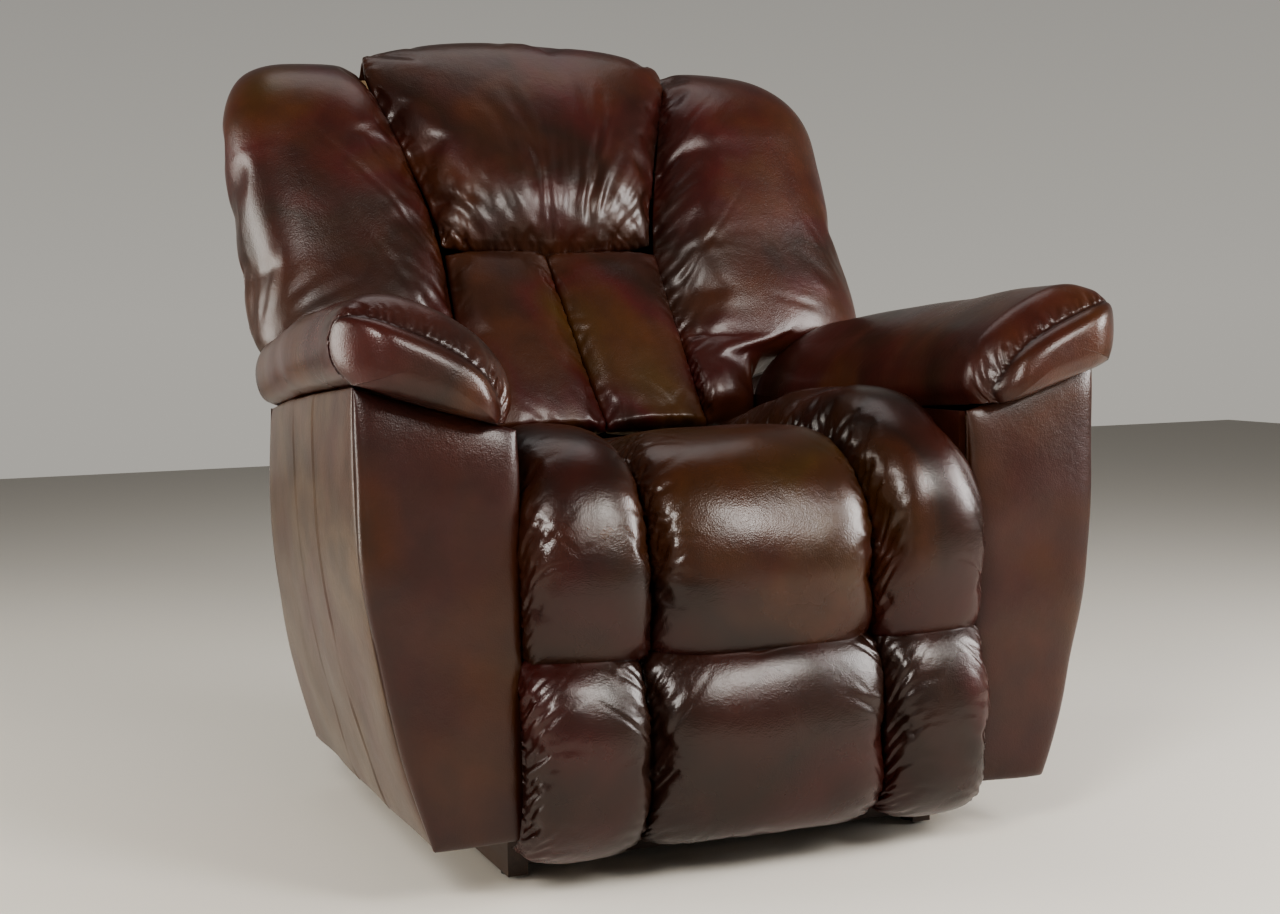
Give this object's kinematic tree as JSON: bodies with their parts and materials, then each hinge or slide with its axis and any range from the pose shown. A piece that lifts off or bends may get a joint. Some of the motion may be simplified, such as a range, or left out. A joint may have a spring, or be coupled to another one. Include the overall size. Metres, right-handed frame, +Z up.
{
  "type": "rocking recliner armchair",
  "caption": "Overstuffed leather rocking recliner with winged back, pillow arms, channelled seat and a fold-out footrest on a scissor linkage.",
  "frame": {"origin": "floor level, under the middle of the chair's outline", "axes": "+Z up, -Y the way the sitter looks, +X the sitter's left"},
  "size_m": [1, 1.024, 1.095],
  "materials": {
    "dark_wood": "satin",
    "frame_wood": "matte",
    "plywood": "matte",
    "mechanism_steel": "satin",
    "zinc_steel": "satin",
    "spring_steel": "satin",
    "nylon": "matte",
    "glide_plastic": "matte",
    "deck_cloth": "matte",
    "seat_leather": "gloss",
    "back_leather": "gloss",
    "arm_leather": "gloss",
    "arm_front_leather": "gloss",
    "arm_side_leather": "satin",
    "footrest_leather": "gloss",
    "outside_leather": "satin",
    "handle_wood": "gloss"
  },
  "bodies": {
    "base": {"base_rail_left": "dark_wood", "base_rail_right": "dark_wood", "base_cross_rails": "dark_wood", "base_corner_brackets": "mechanism_steel", "floor_glides": "glide_plastic", "spring_seats": "mechanism_steel", "rocker_springs": "spring_steel"},
    "chassis": {"rocker_block_left": "plywood", "rocker_block_right": "plywood", "mechanism_plate_left": "mechanism_steel", "mechanism_plate_right": "mechanism_steel", "front_cross_tube": "mechanism_steel", "rear_cross_rail": "frame_wood", "spring_hangers": "mechanism_steel", "drive_bushes": "nylon", "recline_shaft": "zinc_steel", "arm_frames": "frame_wood", "arm_inner_panel_left": "arm_leather", "arm_inner_panel_right": "arm_leather", "arm_outer_panel_left": "arm_side_leather", "arm_outer_panel_right": "arm_side_leather", "arm_front_panel_left": "arm_front_leather", "arm_front_panel_right": "arm_front_leather", "arm_rear_panels": "outside_leather", "arm_pad_left": "arm_leather", "arm_pad_right": "arm_leather"},
    "seat": {"seat_rail_left": "frame_wood", "seat_rail_right": "frame_wood", "seat_cross_rails": "frame_wood", "seat_springs": "spring_steel", "seat_deck": "deck_cloth", "seat_hinge_lugs": "mechanism_steel", "seat_cushion_left": "seat_leather", "seat_cushion_centre": "seat_leather", "seat_cushion_right": "seat_leather"},
    "back": {"back_upright_left": "frame_wood", "back_upright_right": "frame_wood", "back_cross_rails": "frame_wood", "back_springs": "spring_steel", "back_brackets": "mechanism_steel", "back_outside_panel": "outside_leather", "back_side_panels": "outside_leather", "headrest_cushion": "back_leather", "lumbar_cushion_left": "back_leather", "lumbar_cushion_right": "back_leather", "wing_cushion_left": "back_leather", "wing_cushion_right": "back_leather"},
    "drive": {"drive_shaft": "zinc_steel", "release_handle": "handle_wood", "drive_links": "zinc_steel"},
    "slide_link": {"slide_links": "zinc_steel"},
    "lower_link": {"lower_links": "zinc_steel"},
    "upper_link": {"upper_links": "zinc_steel"},
    "footrest": {"footrest_brackets": "mechanism_steel", "footrest_board": "plywood", "footrest_cushion_left": "footrest_leather", "footrest_cushion_centre": "footrest_leather", "footrest_cushion_right": "footrest_leather"}
  },
  "joints": [
    {"name": "rock", "type": "hinge", "parent": "base", "child": "chassis", "pos_m": [0, -0.03, 0.046], "axis": [1, 0, 0], "range_deg": [-7, 4], "stiffness_Nm_per_rad": 900, "deforming": ["rocker_springs"]},
    {"name": "recline", "type": "hinge", "parent": "chassis", "child": "back", "pos_m": [0, 0.19, 0.33], "axis": [-1, 0, 0], "range_deg": [0, 30]},
    {"name": "seat_tilt", "type": "hinge", "parent": "chassis", "child": "seat", "pos_m": [0, 0.19, 0.33], "axis": [-1, 0, 0], "range_deg": [0, 4.5]},
    {"name": "footrest_drive", "type": "hinge", "parent": "chassis", "child": "drive", "pos_m": [0, -0.2966, 0.254], "axis": [-1, 0, 0], "range_deg": [0, 56]},
    {"name": "slide_link_cross", "type": "hinge", "parent": "drive", "child": "slide_link", "pos_m": [0, -0.32306, 0.16172], "axis": [1, 0, 0], "range_deg": [0, 112]},
    {"name": "upper_link_knee", "type": "hinge", "parent": "drive", "child": "upper_link", "pos_m": [0, -0.34952, 0.06944], "axis": [1, 0, 0], "range_deg": [0, 112]},
    {"name": "lower_link_knee", "type": "hinge", "parent": "slide_link", "child": "lower_link", "pos_m": [0, -0.34952, 0.254], "axis": [-1, 0, 0], "range_deg": [0, 112]},
    {"name": "footrest_board_hinge", "type": "hinge", "parent": "upper_link", "child": "footrest", "pos_m": [0, -0.40244, 0.254], "axis": [-1, 0, 0], "range_deg": [0, 145.6]}
  ],
  "couplings": [
    {"joint": "seat_tilt", "follows": "recline", "ratio": 0.15},
    {"joint": "slide_link_cross", "follows": "footrest_drive", "ratio": 2},
    {"joint": "upper_link_knee", "follows": "footrest_drive", "ratio": 2},
    {"joint": "lower_link_knee", "follows": "footrest_drive", "ratio": 2},
    {"joint": "footrest_board_hinge", "follows": "footrest_drive", "ratio": 2.6}
  ]
}
